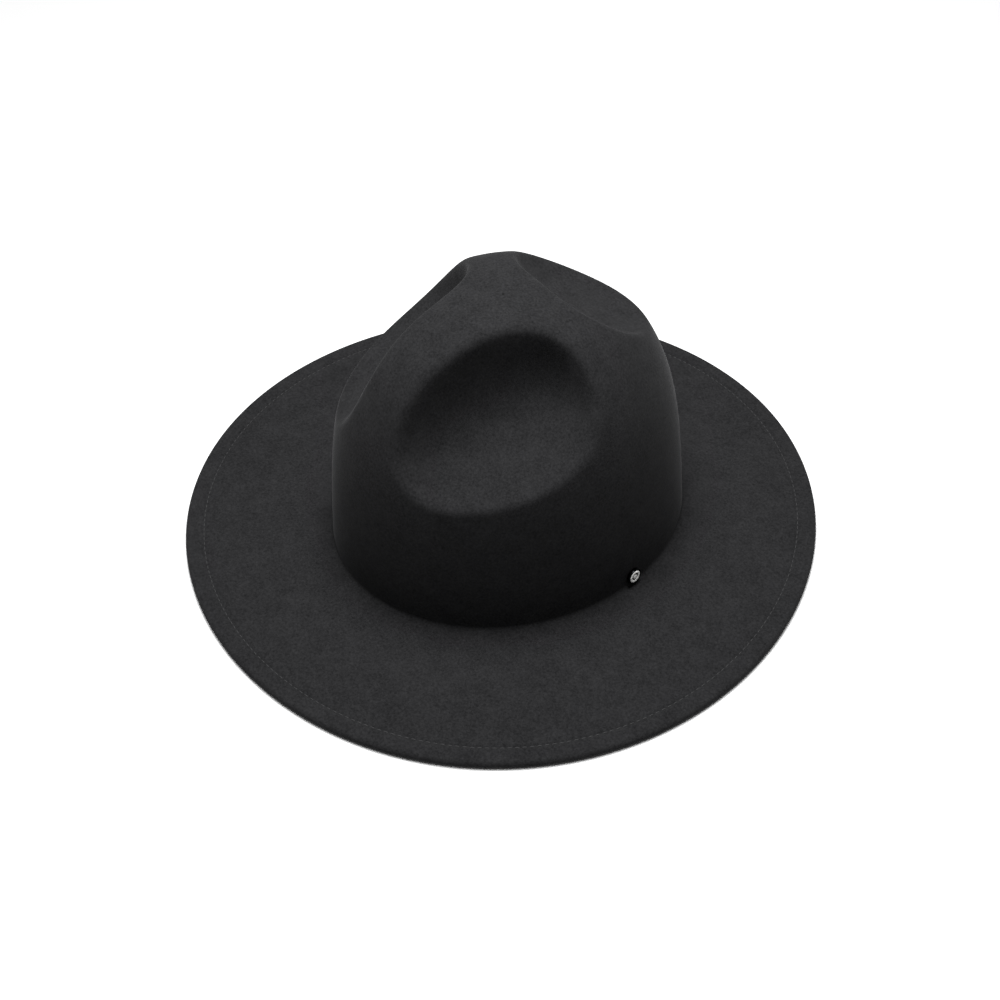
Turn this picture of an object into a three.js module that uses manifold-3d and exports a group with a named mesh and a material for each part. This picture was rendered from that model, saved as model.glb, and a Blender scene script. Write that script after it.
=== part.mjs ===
// A wide-brimmed fedora of blocked wool felt, standing on its brim. Millimetres, +Z up.
// The front is towards -Y and the wearer's left is +X. The origin is on the surface that
// the hat stands on, under the middle of the brim.
import * as THREE from 'three';
import { mergeVertices } from 'three/addons/utils/BufferGeometryUtils.js';
import Module from 'manifold-3d';

// Felt
const feltThickness = 2;

// Crown, measured outside the felt, where it meets the brim and up from there
const crownWidth = 177.4;
const crownLength = 197.6;
const crownHeight = 142.8;
const crownSetBack = 3.3; // how far the crown's middle is behind the brim's
const wallLean = 0.082; // share of its width that the wall loses over the crown's height
const wallBow = 0.114; // further share, which grows with the square of the height
const domeStart = 0.28; // share of the crown's height where the top begins to round in
const domeSquareness = 3; // 2 is an ellipse, and more is squarer

// Dents
const browRadius = 5; // blend round the upper rim of a dent
const lipRadius = 2.5; // blend round its lower rim
const lipTop = 0.52; // share of the crown's height up to which the lower blend holds
const browFoot = 0.84; // and from which the upper one does
const backBrowRadius = 1.4; // the back dent's rim is crisper

// Brim
const brimWidth = 342.4;
const brimLength = 344.8;
const brimEgg = 0.01; // share by which the outline narrows at the front and draws out behind
const brimRise = 1.2; // how far the brim's top climbs from its edge to the crown
const breakRadius = 2; // fold between crown and brim
const weltDepth = 11; // felt turned under along the edge

// Emblem pin on the wearer's left
const pinDiameter = 9;
const pinDomeHeight = 1.5;
const pinRimHeight = 1.1;
const pinAngle = 101; // degrees from the front towards the left
const pinAboveFold = 0.2; // clear height between the fold and the pin's rim
const postDiameter = 1.4;
const clutchDiameter = 8;
const clutchThickness = 3.2;
const clutchFloor = 1;
const edgeEase = 0.3; // blunted corners of the metal pieces
const fitGap = 0.3; // clearance between pieces

// Fineness of the mesh
const columns = 72;
const rows = { dome: 22, wall: 3, fold: 3, brim: 4, edge: 4, welt: 2 };

// Each dent is the mark of a rounded form pressed into the felt. across, back and up place the
// form's middle, and wide, long and deep are its half sizes, as shares of the crown's half width,
// half length and height. tip, lean and turn are its degrees about X, Y and Z.
const dents = [
  { name: 'front_pair', across: 0.854, back: -0.671, up: 1.025, wide: 0.623, long: 0.686, deep: 0.488,
    tip: 18.2, lean: 12.1, turn: -0.8, squareness: 3.29, brow: browRadius },
  { name: 'back', across: 0, back: 1.041, up: 1.069, wide: 0.628, long: 0.821, deep: 0.343,
    tip: -1.8, lean: 0, turn: 0, squareness: 2.87, brow: backBrowRadius },
];

const halfWidth = crownWidth / 2;
const halfLength = crownLength / 2;
const brimTop = 2 * feltThickness + brimRise; // height of the brim's top where the crown begins
const foldTrace = fitGap / 3; // above pinFoot the fold stands out from the wall by less than this
const pinFoot = breakRadius - Math.sqrt(2 * breakRadius * foldTrace - foldTrace ** 2);

function formFor(dent) {
  const turn = new THREE.Euler(...[dent.tip, dent.lean, dent.turn].map(THREE.MathUtils.degToRad), 'ZYX');
  return {
    middle: new THREE.Vector3(dent.across * halfWidth, dent.back * halfLength, dent.up * crownHeight),
    size: new THREE.Vector3(dent.wide * halfWidth, dent.long * halfLength, dent.deep * crownHeight),
    toForm: new THREE.Matrix4().makeRotationFromEuler(turn).transpose(),
    squareness: dent.squareness,
    brow: dent.brow,
  };
}

const forms = dents.map(formFor);

// Millimetres that a point is inside a form, less than 0 outside it
function insideForm(point, form) {
  const p = point.clone().sub(form.middle).applyMatrix4(form.toForm).divide(form.size);
  const n = form.squareness;
  const reach = (Math.abs(p.x) ** n + Math.abs(p.y) ** n + Math.abs(p.z) ** n) ** (1 / n);
  return (1 - reach) * Math.min(form.size.x, form.size.y, form.size.z);
}

// Share of the crown's width that is left at a height above the brim
function wallShare(up) {
  const share = Math.max(up, 0) / crownHeight;
  return 1 - wallLean * share - wallBow * share ** 2;
}

// Millimetres outside the crown before it was dented: an oval wall under a squared dome
function outsideBlank(point) {
  const share = wallShare(point.z);
  const across = Math.hypot(point.x / (halfWidth * share), point.y / (halfLength * share));
  const domeBase = domeStart * crownHeight;
  const up = Math.max(point.z - domeBase, 0) / (crownHeight - domeBase);
  return ((across ** domeSquareness + up ** domeSquareness) ** (1 / domeSquareness) - 1) * halfWidth;
}

// The larger of two values, with a round join where they are within reach of each other
function roundedMax(a, b, reach) {
  const share = THREE.MathUtils.clamp(0.5 + (a - b) / (2 * reach), 0, 1);
  return b + (a - b) * share + reach * share * (1 - share);
}

// Millimetres outside the dented crown. Front dents come in mirrored pairs.
function outsideCrown(point) {
  const height = THREE.MathUtils.smoothstep(point.z / crownHeight, lipTop, browFoot);
  let outside = outsideBlank(point);
  for (const form of forms) {
    const blend = 2 * THREE.MathUtils.lerp(Math.min(lipRadius, form.brow), form.brow, height);
    outside = roundedMax(outside, insideForm(point, form), blend);
    if (form.middle.x > 0) {
      const mirrored = new THREE.Vector3(-point.x, point.y, point.z);
      outside = roundedMax(outside, insideForm(mirrored, form), blend);
    }
  }
  return outside;
}

function direction(angle) {
  return new THREE.Vector3(Math.sin(angle), -Math.cos(angle), 0);
}

// Point where a ray from the middle of the dome's base meets the surface at a depth in the felt
function domePoint(angle, fromTop, depth) {
  const start = new THREE.Vector3(0, 0, domeStart * crownHeight);
  const ray = direction(angle).multiplyScalar(Math.sin(fromTop)).setZ(Math.cos(fromTop));
  let near = 0;
  let far = 2 * Math.max(crownHeight, halfLength);
  for (let step = 0; step < 40; step += 1) {
    const middle = (near + far) / 2;
    const inside = outsideCrown(start.clone().addScaledVector(ray, middle)) < -depth;
    near = inside ? middle : near;
    far = inside ? far : middle;
  }
  return start.addScaledVector(ray, near);
}

function wallPoint(angle, up, depth) {
  const share = wallShare(up) * (1 - depth / halfWidth);
  const reach = share / Math.hypot(Math.sin(angle) / halfWidth, Math.cos(angle) / halfLength);
  return direction(angle).multiplyScalar(reach).setZ(up);
}

// The brim's outline, egg shaped, seen from above
function edgePoint(angle) {
  const share = 1 - brimEgg * Math.cos(3 * angle);
  const x = (brimWidth / 2) * share * Math.sin(angle);
  return new THREE.Vector3(x, -(brimLength / 2) * (share * Math.cos(angle) + brimEgg), 0);
}

// Even steps from 0 to 1, without the first
function steps(count) {
  return Array.from({ length: count }, (_, i) => (i + 1) / count);
}

// One section of the felt from the outer top, over the brim's edge and back to the inner top
function section(angle) {
  const place = (p) => new THREE.Vector3(p.x, p.y + crownSetBack, p.z + brimTop);
  const domeBase = domeStart * crownHeight;
  const quarter = Math.PI / 2;
  const skin = (depth) => [
    ...steps(rows.dome).map((t) => place(domePoint(angle, t * quarter, depth))),
    ...steps(rows.wall).map((t) => {
      return place(wallPoint(angle, THREE.MathUtils.lerp(domeBase, breakRadius, t), depth));
    }),
  ];
  const outer = skin(0);
  const inner = skin(feltThickness);
  const edge = edgePoint(angle);
  const outward = edge.clone().sub(outer.at(-1)).setZ(0);
  const span = outward.length() - breakRadius;
  outward.normalize();
  const foldMiddle = outer.at(-1).clone().addScaledVector(outward, breakRadius);
  const fold = (wall, depth) => steps(rows.fold).map((t) => {
    const turn = t * quarter;
    const across = -Math.cos(turn) * foldMiddle.clone().sub(wall).setZ(0).length();
    const down = -(breakRadius + depth) * Math.sin(turn);
    return foldMiddle.clone().addScaledVector(outward, across).setZ(foldMiddle.z + down);
  });
  const onBrim = (reach, up) => foldMiddle.clone().addScaledVector(outward, reach).setZ(up);
  const topHeight = (reach) => 2 * feltThickness + brimRise * (1 - reach / span) ** 2;
  const flat = span - feltThickness;
  const weltStart = span - weltDepth;
  const brimTopRows = steps(rows.brim).map((t) => onBrim(t * flat, topHeight(t * flat)));
  const edgeRows = steps(rows.edge).map((t) => {
    const reach = flat + feltThickness * Math.sin(t * Math.PI);
    return onBrim(reach, feltThickness * (1 + Math.cos(t * Math.PI)));
  });
  const weltRows = steps(rows.welt).map((t) => onBrim(THREE.MathUtils.lerp(flat, weltStart, t), 0));
  const underRows = steps(rows.brim).map((t) => {
    const reach = weltStart * (1 - t);
    return onBrim(reach, topHeight(reach) - feltThickness);
  });
  const weltInside = onBrim(weltStart, topHeight(weltStart) - feltThickness);
  return [
    ...outer, ...fold(outer.at(-1), 0), ...brimTopRows, ...edgeRows, ...weltRows,
    weltInside, ...underRows, ...fold(inner.at(-1), feltThickness).reverse().slice(1), ...inner.reverse(),
  ];
}

// A closed skin over sections that all run from one pole to the other
function skinOver(sections, firstPole, lastPole) {
  const count = sections.length;
  const length = sections[0].length;
  const positions = [firstPole, lastPole, ...sections.flat()].flatMap((p) => [p.x, p.y, p.z]);
  const vertex = (column, row) => 2 + (column % count) * length + row;
  const index = [];
  for (let column = 0; column < count; column += 1) {
    index.push(0, vertex(column, 0), vertex(column + 1, 0));
    for (let row = 0; row < length - 1; row += 1) {
      const [a, b] = [vertex(column, row), vertex(column, row + 1)];
      const [c, d] = [vertex(column + 1, row), vertex(column + 1, row + 1)];
      index.push(a, b, c, c, b, d);
    }
    index.push(1, vertex(column + 1, length - 1), vertex(column, length - 1));
  }
  const geometry = new THREE.BufferGeometry();
  geometry.setAttribute('position', new THREE.Float32BufferAttribute(positions, 3));
  geometry.setIndex(index);
  return geometry;
}

const wasm = await Module();
wasm.setup();

function toSolid(geometry) {
  const plain = geometry.clone();
  plain.deleteAttribute('normal');
  plain.deleteAttribute('uv');
  const merged = mergeVertices(plain, 1e-4);
  return new wasm.Manifold(new wasm.Mesh({
    numProp: 3,
    vertProperties: new Float32Array(merged.attributes.position.array),
    triVerts: new Uint32Array(merged.index.array),
  }));
}

function toGeometry(solid) {
  const mesh = solid.getMesh();
  const geometry = new THREE.BufferGeometry();
  geometry.setAttribute('position', new THREE.Float32BufferAttribute(mesh.vertProperties, 3));
  geometry.setIndex(Array.from(mesh.triVerts));
  geometry.computeVertexNormals();
  return geometry;
}

// Where the pin stands: a point on the outside of the wall, and a turn of +Y to its normal
function pinSeat() {
  const angle = THREE.MathUtils.degToRad(pinAngle);
  const up = pinFoot + pinAboveFold + pinDiameter / 2;
  const nudge = 0.01;
  const point = wallPoint(angle, up, 0);
  const along = wallPoint(angle + nudge, up, 0).sub(wallPoint(angle - nudge, up, 0));
  const rising = wallPoint(angle, up + 1, 0).sub(wallPoint(angle, up - 1, 0));
  const normal = along.cross(rising).normalize();
  const turn = new THREE.Quaternion().setFromUnitVectors(new THREE.Vector3(0, 1, 0), normal);
  return { point: point.add(new THREE.Vector3(0, crownSetBack, brimTop)), turn };
}

const seat = pinSeat();
const postRadius = postDiameter / 2;
const clutchBack = feltThickness + fitGap + (clutchDiameter / 2) ** 2 / crownWidth;
const postTip = clutchBack + clutchThickness - clutchFloor - fitGap;

function turned(profile, sides) {
  return new THREE.LatheGeometry(profile.map(([r, y]) => new THREE.Vector2(r, y)), sides);
}

function feltBody() {
  const sections = Array.from({ length: columns }, (_, i) => section((i / columns) * 2 * Math.PI));
  const pole = (depth) => domePoint(0, 0, depth).add(new THREE.Vector3(0, crownSetBack, brimTop));
  const felt = toSolid(skinOver(sections, pole(0), pole(feltThickness)));
  const awl = new THREE.CylinderGeometry(postRadius + fitGap, postRadius + fitGap, 6 * feltThickness, 16);
  awl.applyQuaternion(seat.turn).translate(seat.point.x, seat.point.y, seat.point.z);
  return toGeometry(felt.subtract(toSolid(awl)));
}

function pinHead() {
  const radius = pinDiameter / 2;
  const rim = fitGap + pinRimHeight;
  const dome = [0, 0.25, 0.5, 0.75, 1].map((t) => {
    return [radius * Math.cos((t * Math.PI) / 2), rim + pinDomeHeight * Math.sin((t * Math.PI) / 2)];
  });
  dome[4][0] = 0;
  return turned([
    [0, -postTip], [postRadius - edgeEase, -postTip], [postRadius, edgeEase - postTip],
    [postRadius, fitGap], [radius - edgeEase, fitGap], [radius, fitGap + edgeEase], ...dome,
  ], 28);
}

function pinClutch() {
  const radius = clutchDiameter / 2;
  const bore = postRadius + fitGap;
  const end = clutchBack + clutchThickness;
  return turned([
    [0, -end], [radius - edgeEase, -end], [radius, edgeEase - end], [radius, -clutchBack - edgeEase],
    [radius - edgeEase, -clutchBack], [bore, -clutchBack], [bore, clutchFloor - end],
    [0, clutchFloor - end],
  ], 24);
}

function piece(name, geometry, color, roughness, metalness) {
  const mesh = new THREE.Mesh(geometry, new THREE.MeshStandardMaterial({ color, roughness, metalness }));
  mesh.name = name;
  return mesh;
}

const hat = new THREE.Group();
hat.add(piece('felt_body', feltBody(), 0x2c2b2d, 1, 0));

const pin = new THREE.Group();
pin.position.copy(seat.point);
pin.quaternion.copy(seat.turn);
pin.add(piece('pin_head', pinHead(), 0x1a1a1c, 0.22, 1));
pin.add(piece('pin_clutch', pinClutch(), 0x8d8f92, 0.35, 1));
hat.add(pin);

export default hat;
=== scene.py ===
import math

import bpy
import numpy as np
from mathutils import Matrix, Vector


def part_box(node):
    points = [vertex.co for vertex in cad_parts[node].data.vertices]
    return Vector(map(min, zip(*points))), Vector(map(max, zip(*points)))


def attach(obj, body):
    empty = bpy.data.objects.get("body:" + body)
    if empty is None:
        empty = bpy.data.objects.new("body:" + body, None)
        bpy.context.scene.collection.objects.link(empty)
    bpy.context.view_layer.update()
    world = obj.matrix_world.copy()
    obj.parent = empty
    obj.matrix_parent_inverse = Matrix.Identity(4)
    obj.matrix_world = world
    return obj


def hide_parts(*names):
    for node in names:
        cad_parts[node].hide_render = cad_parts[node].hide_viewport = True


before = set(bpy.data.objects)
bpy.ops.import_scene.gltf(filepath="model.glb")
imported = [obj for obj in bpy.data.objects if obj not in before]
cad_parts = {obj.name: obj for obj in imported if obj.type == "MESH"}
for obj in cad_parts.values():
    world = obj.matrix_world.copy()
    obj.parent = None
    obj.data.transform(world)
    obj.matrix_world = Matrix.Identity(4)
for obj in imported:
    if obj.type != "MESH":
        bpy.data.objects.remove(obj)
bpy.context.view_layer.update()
mm = 0.001
feltLow, feltHigh = [np.array(corner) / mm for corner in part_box("felt_body")]
brimWidth, brimLength, hatHeight = feltHigh - feltLow
print("frame: felt", [round(float(size), 1) for size in (brimWidth, brimLength, hatHeight)], "mm")

# Shape of the felt in millimetres. Shares are of the brim's width or length.
hat = {
    "felt": 2.0,
    "crownWidthShare": 0.5181,
    "crownLengthShare": 0.5731,
    "crownSetBack": 3.3,
    "wallLean": 0.082,
    "wallBow": 0.114,
    "domeStart": 0.28,
    "domeSquareness": 3.0,
    "lipRadius": 1.2,
    "lipTop": 0.52,
    "browFoot": 0.84,
    "brimEgg": 0.01,
    "brimRise": 1.2,
    "breakRadius": 2.0,
    "weltDepth": 11.0,
}
felt = hat["felt"]
halfWidth = hat["crownWidthShare"] * brimWidth / 2
halfLength = hat["crownLengthShare"] * brimLength / 2
brimTop = 2 * felt + hat["brimRise"]
crownHeight = hatHeight - brimTop
domeBase = hat["domeStart"] * crownHeight
toPart = np.array([0, hat["crownSetBack"], brimTop])

# Rounded forms pressed into the crown. middle and size are shares of its half width, half
# length and height, turn holds degrees about X, Y and Z, and brow rounds the rim high up.
leftPinch = {
    "middle": (0.864, -0.671, 1.030),
    "size": (0.652, 0.710, 0.500),
    "turn": (15.0, 6.0, -0.8),
    "squareness": 3.5,
    "brow": 2.4,
}
backDent = {
    "middle": (0.0, 1.041, 1.069),
    "size": (0.628, 0.821, 0.343),
    "turn": (-1.8, 0.0, 0.0),
    "squareness": 2.87,
    "brow": 1.4,
}


def mirrored(dent):
    # the same form on the wearer's other side
    x, y, z = dent["middle"]
    aboutX, aboutY, aboutZ = dent["turn"]
    return dent | {"middle": (-x, y, z), "turn": (aboutX, -aboutY, -aboutZ)}


dents = [leftPinch, mirrored(leftPinch), backDent]


def turnMatrix(degrees):
    # about X first, then Y, then Z
    x, y, z = np.radians(degrees)
    aboutX = np.array([[1, 0, 0], [0, math.cos(x), -math.sin(x)], [0, math.sin(x), math.cos(x)]])
    aboutY = np.array([[math.cos(y), 0, math.sin(y)], [0, 1, 0], [-math.sin(y), 0, math.cos(y)]])
    aboutZ = np.array([[math.cos(z), -math.sin(z), 0], [math.sin(z), math.cos(z), 0], [0, 0, 1]])
    return aboutZ @ aboutY @ aboutX


def smoothStep(value, start, end):
    # 0 before the start, 1 past the end, and 3 t^2 - 2 t^3 between
    share = np.clip((value - start) / (end - start), 0, 1)
    return share * share * (3 - 2 * share)


def wallShare(up):
    # share of its width that the wall keeps at a height: 1 less a lean and a bow
    share = np.maximum(up, 0) / crownHeight
    return 1 - hat["wallLean"] * share - hat["wallBow"] * share**2


def outsideBlank(point):
    # an oval wall under a squared dome: the n-th root of across^n + up^n, less 1
    share = wallShare(point[..., 2])
    across = np.hypot(point[..., 0] / (halfWidth * share), point[..., 1] / (halfLength * share))
    up = np.maximum(point[..., 2] - domeBase, 0) / (crownHeight - domeBase)
    power = hat["domeSquareness"]
    return ((across**power + up**power) ** (1 / power) - 1) * halfWidth


def insideDent(point, dent):
    # the same for a turned form with its own half sizes: 1 less the n-th root of x^n + y^n + z^n
    scale = np.array([halfWidth, halfLength, crownHeight])
    size = np.array(dent["size"]) * scale
    local = np.abs((point - np.array(dent["middle"]) * scale) @ turnMatrix(dent["turn"]) / size)
    power = dent["squareness"]
    return (1 - np.sum(local**power, axis=-1) ** (1 / power)) * size.min()


def outsideCrown(point):
    # the larger of the blank's and the dents' values, rounded where they meet
    height = smoothStep(point[..., 2] / crownHeight, hat["lipTop"], hat["browFoot"])
    outside = outsideBlank(point)
    for dent in dents:
        lip = min(hat["lipRadius"], dent["brow"])
        reach = 2 * (lip + (dent["brow"] - lip) * height)
        inside = insideDent(point, dent)
        share = np.clip(0.5 + (outside - inside) / (2 * reach), 0, 1)
        outside = inside + (outside - inside) * share + reach * share * (1 - share)
    return outside


halvings = 36


def domePoints(angles, fromTop, depth):
    # where rays from the middle of the dome's base meet the felt, found by halving
    angle, tilt = np.meshgrid(angles, fromTop)
    ray = np.stack([np.sin(angle) * np.sin(tilt), -np.cos(angle) * np.sin(tilt), np.cos(tilt)], -1)
    start = np.array([0, 0, domeBase])
    near = np.zeros(angle.shape)
    far = np.full(angle.shape, 2 * max(crownHeight, halfLength))
    for _ in range(halvings):
        middle = (near + far) / 2
        inside = outsideCrown(start + ray * middle[..., None]) < -depth
        near = np.where(inside, middle, near)
        far = np.where(inside, far, middle)
    return start + ray * near[..., None]


def wallPoints(angles, heights, depth):
    # an ellipse at each height, narrowed by the wall's share
    angle, up = np.meshgrid(angles, heights)
    share = wallShare(up) * (1 - depth / halfWidth)
    reach = share / np.hypot(np.sin(angle) / halfWidth, np.cos(angle) / halfLength)
    return np.stack([np.sin(angle) * reach, -np.cos(angle) * reach, up], -1)


def brimEdge(angles):
    # an egg: an ellipse whose radius changes by brimEgg with the cosine of three times the angle
    share = 1 - hat["brimEgg"] * np.cos(3 * angles)
    x = brimWidth / 2 * share * np.sin(angles)
    y = -brimLength / 2 * (share * np.cos(angles) + hat["brimEgg"])
    return np.stack([x, y, 0 * x], -1)


def brimRays(angles):
    # foot of the crown's outer wall, the way out from it, and how far the brim reaches from the fold
    wall = wallPoints(angles, [hat["breakRadius"]], 0)[0] + toPart
    outward = (brimEdge(angles) - wall) * np.array([1, 1, 0])
    length = np.linalg.norm(outward, axis=-1)
    outward = outward / length[:, None]
    foldMiddle = wall + outward * hat["breakRadius"]
    return foldMiddle, outward, length - hat["breakRadius"]


def onBrim(rays, fromEdge, height):
    # points a distance in from the brim's edge at a height, for each angle
    foldMiddle, outward, span = rays
    point = foldMiddle + outward * (span - fromEdge)[:, None]
    point[:, 2] = height
    return point


# The doubled edge and the groove that its stitches pull, in millimetres
edge = {
    "stitchInset": 10.0,
    "groove": 0.45,
    "grooveWidth": 1.1,
    "grooveBelow": 0.72,
    "grooveBelowWidth": 0.8,
    "bandRise": 0.35,
    "bandStart": 0.5,
    "bandEase": 2.5,
    "fineRows": 5.0,
}
# How many rows of faces each stretch of the skin has, from the outer top to the inner top
fine = {
    "dome": 118, "wall": 12, "fold": 6, "brim": 34, "band": 36, "edge": 10, "welt": 12,
    "step": 3, "under": 16, "innerFold": 3, "innerWall": 6, "innerDome": 40,
}


def topHeight(fromEdge, span):
    # the brim climbs with the square of the way to the crown
    return 2 * felt + hat["brimRise"] * np.clip(fromEdge / span, 0, 1) ** 2


def bandHeight(fromEdge):
    # the doubled edge stands a little proud, and the stitches pull a groove along its inner side
    inset = edge["stitchInset"]
    start, end = -inset - edge["bandStart"], edge["bandEase"] - inset
    rise = edge["bandRise"] * smoothStep(-fromEdge, start, end)
    return rise - edge["groove"] * np.exp(-(((fromEdge - inset) / edge["grooveWidth"]) ** 2))


def feltRows(angles):
    # every row of the felt's skin from the outer top, over the brim's edge and back to the inner top
    quarter = math.pi / 2

    def steps(name, start=0.0, end=1.0):
        return np.linspace(start, end, fine[name] + 1)[1:]

    def skin(depth, dome, wall):
        return (domePoints(angles, steps(dome) * quarter, depth) + toPart,
                wallPoints(angles, steps(wall, domeBase, hat["breakRadius"]), depth) + toPart)

    def fold(wall, depth, name):
        across = np.linalg.norm((foldMiddle - wall)[:, :2], axis=-1)
        rows = []
        for turn in steps(name) * quarter:
            row = foldMiddle - outward * (math.cos(turn) * across)[:, None]
            row[:, 2] = foldMiddle[:, 2] - (hat["breakRadius"] + depth) * math.sin(turn)
            rows.append(row)
        return np.array(rows)

    rays = brimRays(angles)
    foldMiddle, outward, span = rays
    outerDome, outerWall = skin(0, "dome", "wall")
    innerDome, innerWall = skin(felt, "innerDome", "innerWall")
    bandStart = edge["stitchInset"] + edge["fineRows"]

    def brimRow(fromEdge):
        return onBrim(rays, fromEdge, topHeight(fromEdge, span) + bandHeight(fromEdge))

    brimRows = [brimRow(span + (bandStart - span) * t) for t in steps("brim")]
    brimRows += [brimRow(np.full_like(span, d)) for d in steps("band", bandStart, felt)]
    edgeRows = []
    topAtEdge = topHeight(felt, span) + bandHeight(felt)
    for turn in steps("edge") * math.pi:
        height = topAtEdge / 2 * (1 + math.cos(turn))
        edgeRows.append(onBrim(rays, felt * (1 - math.sin(turn)), height))
    weltRows = []
    for fromEdge in steps("welt", felt, hat["weltDepth"]):
        away = (fromEdge - edge["stitchInset"]) / edge["grooveBelowWidth"]
        hollow = edge["grooveBelow"] * math.exp(-(away**2))
        weltRows.append(onBrim(rays, fromEdge, np.full_like(span, hollow)))
    underAt = topHeight(hat["weltDepth"], span) - felt
    lastWelt = weltRows[-1][:, 2]
    stepRows = [onBrim(rays, hat["weltDepth"], lastWelt + (underAt - lastWelt) * t)
                for t in steps("step")]
    underRows = []
    for t in steps("under"):
        fromEdge = hat["weltDepth"] + (span - hat["weltDepth"]) * t
        underRows.append(onBrim(rays, fromEdge, topHeight(fromEdge, span) - felt))
    innerFold = fold(innerWall[-1], felt, "innerFold")[::-1][1:]
    return np.concatenate([
        outerDome, outerWall, fold(outerWall[-1], 0, "fold"), brimRows, edgeRows, weltRows,
        stepRows, underRows, innerFold, innerWall[::-1], innerDome[::-1],
    ])


def gridFaces(rowCount, columnCount, first):
    # quads between neighbouring rows and columns, numbered row by row; the columns go round
    row, column = np.meshgrid(np.arange(rowCount - 1), np.arange(columnCount), indexing="ij")
    here = first + row * columnCount + column
    beside = first + row * columnCount + (column + 1) % columnCount
    return np.stack([here, here + columnCount, beside + columnCount, beside], -1).reshape(-1, 4)


def meshObject(name, points, faces, material, smooth=True):
    mesh = bpy.data.meshes.new(name)
    mesh.from_pydata(np.asarray(points) * mm, [], faces)
    mesh.polygons.foreach_set("use_smooth", [smooth] * len(mesh.polygons))
    mesh.materials.append(material)
    mesh.update()
    made = bpy.data.objects.new(name, mesh)
    bpy.context.scene.collection.objects.link(made)
    return made


def linearColour(hexText):
    # sRGB hex to the linear values that shaders work in
    parts = [int(hexText[i:i + 2], 16) / 255 for i in (1, 3, 5)]
    return [p / 12.92 if p <= 0.04045 else ((p + 0.055) / 1.055) ** 2.4 for p in parts] + [1.0]


def addNode(tree, kind, inputs=None, **settings):
    # one node with its settings, and for each socket a value or the output that feeds it
    node = tree.nodes.new(kind)
    for name, value in settings.items():
        setattr(node, name, value)
    for socket, value in (inputs or {}).items():
        if isinstance(value, bpy.types.NodeSocket):
            tree.links.new(value, node.inputs[socket])
        else:
            node.inputs[socket].default_value = value
    return node


def newMaterial(name):
    # a material with its node tree and its shader
    material = bpy.data.materials.new(name)
    material.use_nodes = True
    return material, material.node_tree, material.node_tree.nodes["Principled BSDF"]


# Sizes in millimetres; rampStart and rampEnd are the noise values that give dark and light
feltLook = {
    "dark": "#0b0b0c",
    "light": "#202021",
    "mottle": 9.0,
    "mottleShare": 0.26,
    "grain": 1.2,
    "grainShare": 0.9,
    "rampStart": 0.25,
    "rampEnd": 0.65,
    "fibre": 0.55,
    "fibreShare": 0.5,
    "bump": 0.12,
    "bumpStrength": 0.6,
    "specular": 0.15,
    "sheen": 0.045,
    "sheenRoughness": 0.3,
    "sheenTint": "#c9c9cc",
    # pinhole and pinholeCore: radius of the painted shade spot at the peak, and the share of that
    # radius that stays darkest
    "pinhole": 0.8,
    "pinholeCore": 0.6,
}


def blockedWoolFelt():
    # blocked and brushed wool felt: matt charcoal, with a grain of matted fibres that is drawn a
    # little coarser than the real 0.1 mm so that it shows, and a fuzz that lights up at a glance
    material, tree, shader = newMaterial("blocked wool felt")
    place = addNode(tree, "ShaderNodeTexCoord").outputs["Object"]

    def noise(size, detail, rough=0.5, distortion=0.0):
        return addNode(tree, "ShaderNodeTexNoise", {
            "Vector": place, "Scale": 1 / (size * mm), "Detail": detail, "Roughness": rough,
            "Distortion": distortion}).outputs["Fac"]

    def timesPlus(value, factor, plus):
        return addNode(tree, "ShaderNodeMath", {0: value, 1: factor, 2: plus},
                       operation="MULTIPLY_ADD").outputs[0]

    mottle = noise(feltLook["mottle"], 3, 0.55)
    grain = noise(feltLook["grain"], 4, 0.65, 0.6)
    fibre = noise(feltLook["fibre"], 3, 0.7, 1.2)
    mixed = timesPlus(mottle, feltLook["mottleShare"], -feltLook["mottleShare"] / 2)
    mixed = timesPlus(grain, feltLook["grainShare"], mixed)
    ramp = addNode(tree, "ShaderNodeMapRange", {
        "Value": mixed, "From Min": feltLook["rampStart"], "From Max": feltLook["rampEnd"]})
    colour = addNode(tree, "ShaderNodeMix", {
        0: ramp.outputs["Result"], 6: linearColour(feltLook["dark"]),
        7: linearColour(feltLook["light"])}, data_type="RGBA")
    bump = addNode(tree, "ShaderNodeBump", {
        "Height": timesPlus(fibre, feltLook["fibreShare"], grain),
        "Strength": feltLook["bumpStrength"], "Distance": feltLook["bump"] * mm})
    # painted shade: a near-black spot at the peak stands in for the shadow inside the pinhole that the
    # blocking left there; no hole is cut in the mesh
    peak = np.array([0, hat["crownSetBack"], hatHeight]) * mm
    away = addNode(tree, "ShaderNodeVectorMath", {0: place, 1: peak}, operation="DISTANCE")
    pinholeShadeFactor = addNode(tree, "ShaderNodeMapRange", {
        "Value": away.outputs["Value"], "From Min": feltLook["pinhole"] * feltLook["pinholeCore"] * mm,
        "From Max": feltLook["pinhole"] * mm, "To Min": 0.08})
    shadedPinholeColour = addNode(tree, "ShaderNodeMix", {
        0: pinholeShadeFactor.outputs["Result"], 6: (0.001, 0.001, 0.001, 1), 7: colour.outputs[2],
    }, data_type="RGBA")
    tree.links.new(shadedPinholeColour.outputs[2], shader.inputs["Base Color"])
    tree.links.new(bump.outputs[0], shader.inputs["Normal"])
    shader.inputs["Roughness"].default_value = 1.0
    shader.inputs["Specular IOR Level"].default_value = feltLook["specular"]
    shader.inputs["Sheen Weight"].default_value = feltLook["sheen"]
    shader.inputs["Sheen Roughness"].default_value = feltLook["sheenRoughness"]
    shader.inputs["Sheen Tint"].default_value = linearColour(feltLook["sheenTint"])
    return material


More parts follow.
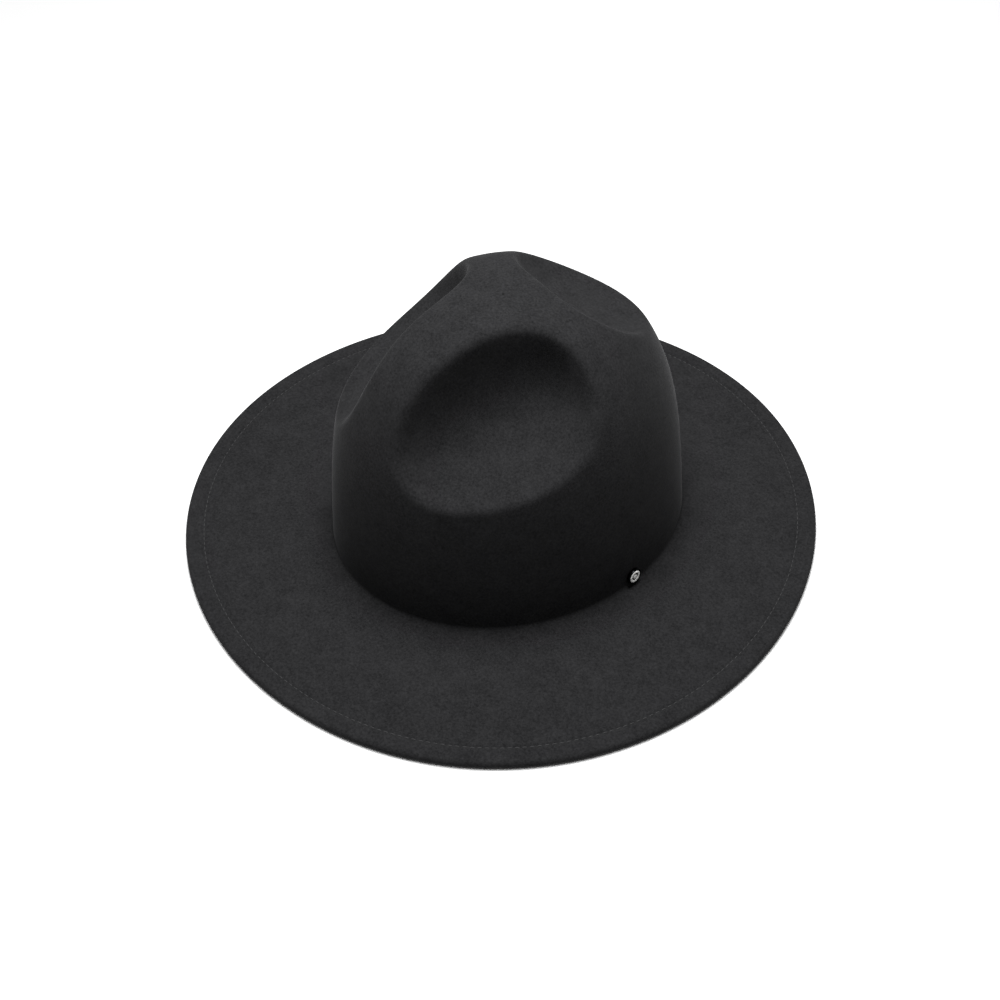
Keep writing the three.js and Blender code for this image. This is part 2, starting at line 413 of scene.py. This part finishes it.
def plainMaterial(name, hexColour, roughness, metallic=0.0, specular=0.5):
    # a material that is the same all over
    material, _, shader = newMaterial(name)
    shader.inputs["Base Color"].default_value = linearColour(hexColour)
    shader.inputs["Roughness"].default_value = roughness
    shader.inputs["Metallic"].default_value = metallic
    shader.inputs["Specular IOR Level"].default_value = specular
    return material


def sewingThread():
    # black spun polyester thread: nearly as matt as the felt, so the stitches show only faintly
    return plainMaterial("spun polyester thread", "#1f1f20", 0.7, specular=0.4)


def platedMetal(name, hexColour, roughness):
    # polished plate over a cast base: mirrors the softbox and the floor
    return plainMaterial(name, hexColour, roughness, metallic=1.0)


# The felt's outer top and inner top close on one point each
columns = 300
rows = feltRows(np.arange(columns) / columns * 2 * math.pi)
topPoles = [domePoints([0.0], [0.0], depth)[0] + toPart for depth in (0, felt)]
points = np.concatenate([topPoles[0], topPoles[1], rows.reshape(-1, 3)])
ring = np.arange(columns)
firstRow = 2 + ring
lastRow = 2 + (len(rows) - 1) * columns + ring
caps = np.concatenate([
    np.stack([0 * ring, firstRow, np.roll(firstRow, -1)], -1),
    np.stack([0 * ring + 1, np.roll(lastRow, -1), lastRow], -1),
])
feltSkin = meshObject("felt_skin", points, gridFaces(len(rows), columns, 2).tolist() + caps.tolist(),
                      blockedWoolFelt())
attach(feltSkin, "root")
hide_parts("felt_body")
print("felt skin:", 2 * len(rows) * columns, "triangles")

# lift is the height of a stitch over its ends, as a share of the thread's radius
stitch = {
    "pitch": 3.6,
    "length": 2.9,
    "thread": 0.5,
    "lift": 1.3,
    "rings": 6,
    "sides": 6,
}


def stitchRow(side):
    # threads laid end to end along the line at stitchInset from the edge: each is a tube whose
    # middle follows the brim and whose ends dip into the felt as a sine; side 1 is on top, -1 below
    around = np.linspace(0, 2 * math.pi, 3601)
    line = onBrim(brimRays(around), edge["stitchInset"], 0 * around)
    along = np.concatenate([[0], np.cumsum(np.linalg.norm(np.diff(line, axis=0), axis=-1))])
    count = int(along[-1] / stitch["pitch"])
    pitch = along[-1] / count
    t = np.linspace(0, 1, stitch["rings"])
    where = (np.arange(count)[:, None] * pitch + (t - 0.5) * stitch["length"]) % along[-1]
    angle = np.interp(where, along, around).ravel()
    rays = brimRays(angle)
    line = onBrim(rays, edge["stitchInset"], 0 * angle)
    radius = stitch["thread"] / 2
    lift = radius * stitch["lift"] * np.sin(math.pi * t) ** 0.7 - radius
    if side > 0:
        ground = topHeight(edge["stitchInset"], rays[2]) + bandHeight(edge["stitchInset"])
    else:
        ground = np.full(len(line), edge["grooveBelow"])
    line[:, 2] = ground + side * np.tile(lift, count)
    middle = line.reshape(count, len(t), 3)
    outward = rays[1].reshape(count, len(t), 3)
    sides = stitch["sides"]
    turn = np.arange(sides) / sides * 2 * math.pi
    swell = radius * np.sqrt(np.clip(1 - (2 * t - 1) ** 6, 0.08, 1))
    ring = (np.cos(turn)[:, None] * outward[:, :, None, :]
            + np.sin(turn)[:, None] * np.array([0, 0, 1.0]))
    tube = middle[:, :, None, :] + ring * swell[None, :, None, None]
    start = (np.arange(count) * len(t) * sides)[:, None, None]
    quads = (gridFaces(len(t), sides, 0)[:, ::-1][None] + start).reshape(-1, 4)
    endCap = np.arange(sides)
    caps = np.stack([endCap[::-1], endCap + (len(t) - 1) * sides])
    caps = (caps[None] + start).reshape(-1, sides)
    return tube.reshape(-1, 3), quads, caps


topTubes, topQuads, topCaps = stitchRow(1)
lowTubes, lowQuads, lowCaps = stitchRow(-1)
shift = len(topTubes)
stitches = meshObject(
    "edge_stitches", np.concatenate([topTubes, lowTubes]),
    topQuads.tolist() + topCaps.tolist() + (lowQuads + shift).tolist() + (lowCaps + shift).tolist(),
    sewingThread())
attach(stitches, "root")
print("stitches:", len(topCaps) // 2 + len(lowCaps) // 2)

# The pin stands square to the wall, just above the fold. Millimetres, and degrees from the front.
pin = {
    "angle": 101.0,
    "diameter": 9.0,
    "clear": 0.2,
    "foldTrace": 0.1,
    "gap": 0.3,
    "post": 0.7,
    "postLength": 4.3,
    "postEase": 0.2,
    "side": 1.9,
    "round": 0.3,
    "foot": 0.3,
    "footEase": 0.08,
    "rim": 0.7,
    "rimEase": 0.15,
    "sink": 0.12,
    "axis": 0.01,
}


def pinSeat():
    # a point on the wall, and the directions round, up and out from it
    radius = hat["breakRadius"]
    foot = radius - math.sqrt(2 * radius * pin["foldTrace"] - pin["foldTrace"] ** 2)
    up = foot + pin["clear"] + pin["diameter"] / 2
    angle = math.radians(pin["angle"])
    point = wallPoints([angle], [up], 0)[0, 0]
    around = wallPoints([angle + 0.01], [up], 0)[0, 0] - wallPoints([angle - 0.01], [up], 0)[0, 0]
    rising = wallPoints([angle], [up + 1], 0)[0, 0] - wallPoints([angle], [up - 1], 0)[0, 0]
    around /= np.linalg.norm(around)
    out = np.cross(around, rising)
    out /= np.linalg.norm(out)
    return point + toPart, around, np.cross(out, around), out


def turnedOnPin(name, profile, material, sides=64):
    # a profile of radius and height turned about the pin's axis, with its ends on the axis
    centre, around, rising, out = pinSeat()
    radius, height = np.array(profile).T
    turn = np.arange(sides) / sides * 2 * math.pi
    ring = np.cos(turn)[:, None] * around + np.sin(turn)[:, None] * rising
    body = centre + radius[:, None, None] * ring + height[:, None, None] * out
    ends = centre + np.array([[height[0]], [height[-1]]]) * out
    points = np.concatenate([ends, body.reshape(-1, 3)])
    column = np.arange(sides)
    first, last = 2 + column, 2 + (len(radius) - 1) * sides + column
    quads = gridFaces(len(radius), sides, 2)[:, ::-1]
    caps = np.concatenate([
        np.stack([0 * column, np.roll(first, -1), first], -1),
        np.stack([0 * column + 1, last, np.roll(last, -1)], -1),
    ])
    return meshObject(name, points, quads.tolist() + caps.tolist(), material)


def rounded(radius, high, ease):
    # the upper outer corner of a disc, blunted by a quarter circle
    turn = np.linspace(0, math.pi / 2, 5)
    return [(radius - ease + ease * math.cos(t), high - ease + ease * math.sin(t)) for t in turn]


pinRadius = pin["diameter"] / 2
faceAt = pin["gap"] + pin["side"]
cupProfile = [
    (pin["axis"], -pin["postLength"]), (pin["post"] - pin["postEase"], -pin["postLength"]),
    (pin["post"], pin["postEase"] - pin["postLength"]), (pin["post"], pin["gap"]),
    (pinRadius - pin["foot"], pin["gap"]),
    (pinRadius - pin["footEase"], pin["gap"] + pin["footEase"]),
    (pinRadius, pin["gap"] + pin["foot"]),
]
cupProfile += rounded(pinRadius, faceAt, pin["round"])
cupProfile += [
    (pinRadius - pin["rim"], faceAt),
    (pinRadius - pin["rim"] - pin["rimEase"], faceAt - pin["sink"]),
    (pin["axis"], faceAt - pin["sink"]),
]
cup = turnedOnPin("pin_cup", cupProfile, platedMetal("polished black plate", "#26272a", 0.18))
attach(cup, "root")
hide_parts("pin_head")


enamel = {
    "ring": (2.1, 3.5),
    "dot": (0.02, 1.2),
    "depth": 0.3,
    "rise": 0.2,
    "shoulder": 0.25,
    "backing": 0.05,
}


def whiteEnamel():
    # fired enamel laid into the metal: bright, even and smooth, with a soft gloss
    return plainMaterial("white enamel", "#f2f2f0", 0.3)


def enamelRing(name, innerRadius, outerRadius):
    # a plain ring, or a dot where innerRadius is nearly 0, that stands proud of the face with
    # rounded shoulders: half an ellipse from the outer side to the inner
    low, high = faceAt - enamel["depth"], faceAt + enamel["rise"]
    middle, half = (innerRadius + outerRadius) / 2, (outerRadius - innerRadius) / 2
    shoulder = enamel["shoulder"]
    profile = [(pin["axis"], low), (outerRadius, low)]
    profile += [(middle + half * math.cos(t), high - shoulder + shoulder * math.sin(t))
                for t in np.linspace(0, math.pi, 9)]
    profile += [(innerRadius, low), (pin["axis"], low + enamel["backing"])]
    return turnedOnPin(name, profile, whiteEnamel())


for made in (enamelRing("pin_ring", *enamel["ring"]), enamelRing("pin_dot", *enamel["dot"])):
    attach(made, "root")

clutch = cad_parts["pin_clutch"]
clutch.data.materials.clear()
clutch.data.materials.append(platedMetal("polished nickel plate", "#d9dade", 0.22))
print("pin placed")


paper = {"half": 6000.0, "drop": 0.15}


def whiteFloor():
    # a matt white sweep of paper, wide enough for every view and a hair under the brim
    half, up = paper["half"], -paper["drop"]
    corners = [(-half, -half, up), (half, -half, up), (half, half, up), (-half, half, up)]
    floor = meshObject("floor", corners, [(0, 1, 2, 3)],
                       plainMaterial("matt white paper", "#cacaca", 1.0, specular=0.0), smooth=False)


# Strengths, the ceiling's width in degrees, the softbox's size and height in metres, and by how
# many degrees both lean away from the camera
light = {
    "room": 0.19,
    "backdrop": 0.95,
    "ceiling": 3.9,
    "ceilingAngle": 34.0,
    "softbox": 4.6,
    "softboxSize": 0.25,
    "softboxHeight": 0.6,
    "behind": 4.0,
}


def studioLight():
    # a dim even room with a pale backdrop, a wide bright ceiling, and a small softbox close above
    # the crown, which makes its top brighter than the brim
    scene = bpy.context.scene
    world = bpy.data.worlds.new("pale room")
    scene.world = world
    world.use_nodes = True
    tree = world.node_tree
    seen = addNode(tree, "ShaderNodeLightPath").outputs["Is Camera Ray"]
    strength = addNode(tree, "ShaderNodeMapRange", {
        "Value": seen, "To Min": light["room"], "To Max": light["backdrop"]})
    tree.nodes["Background"].inputs[0].default_value = (1, 1, 1, 1)
    tree.links.new(strength.outputs["Result"], tree.nodes["Background"].inputs[1])
    ceiling = bpy.data.lights.new("ceiling", "SUN")
    ceiling.energy = light["ceiling"]
    ceiling.angle = math.radians(light["ceilingAngle"])
    softbox = bpy.data.lights.new("softbox", "AREA")
    softbox.shape = "DISK"
    softbox.size = light["softboxSize"]
    softbox.energy = light["softbox"]
    back, tilt = math.radians(shot["azimuth"] + 180), math.radians(light["behind"])
    aim = np.array([
        math.sin(back) * math.sin(tilt), -math.cos(back) * math.sin(tilt), math.cos(tilt)])
    for lamp in (ceiling, softbox):
        made = bpy.data.objects.new(lamp.name, lamp)
        made.location = aim * light["softboxHeight"]
        made.rotation_euler = Vector(aim).to_track_quat("Z", "Y").to_euler()
        made.visible_camera = False
        scene.collection.objects.link(made)


# Degrees round from the front and up, millimetres, and pixels of a picture imageSide wide
shot = {
    "azimuth": 55.595,
    "elevation": 44.829,
    "distance": 920.2,
    "roll": 1.513,
    "focal": 1670.1,
    "target": (508.85, 508.84),
    "imageSide": 1000.0,
}


def photoCamera():
    # from the wearer's left front and above, aimed at the crown's middle on the floor
    azimuth, elevation, roll = [math.radians(shot[name]) for name in ("azimuth", "elevation", "roll")]
    back = np.array([math.sin(azimuth) * math.cos(elevation), -math.cos(azimuth) * math.cos(elevation),
                     math.sin(elevation)])
    right = np.array([math.cos(azimuth), math.sin(azimuth), 0])
    up = np.cross(back, right)
    across = right * math.cos(roll) - up * math.sin(roll)
    upright = right * math.sin(roll) + up * math.cos(roll)
    data = bpy.data.cameras.new("photo camera")
    data.sensor_width = 36
    data.sensor_fit = "AUTO"
    data.lens = 36 * shot["focal"] / shot["imageSide"]
    data.shift_x = 0.5 - shot["target"][0] / shot["imageSide"]
    data.shift_y = shot["target"][1] / shot["imageSide"] - 0.5
    data.clip_start = 0.01
    data.clip_end = 50
    camera = bpy.data.objects.new("photo camera", data)
    bpy.context.scene.collection.objects.link(camera)
    place = (np.array([0, hat["crownSetBack"], 0]) + back * shot["distance"]) * mm
    matrix = np.eye(4)
    matrix[:3, 0], matrix[:3, 1], matrix[:3, 2], matrix[:3, 3] = across, upright, back, place
    camera.matrix_world = matrix.T
    bpy.context.scene.camera = camera


whiteFloor()
studioLight()
photoCamera()
bpy.context.scene.view_settings.view_transform = "Standard"
print("light and camera placed")
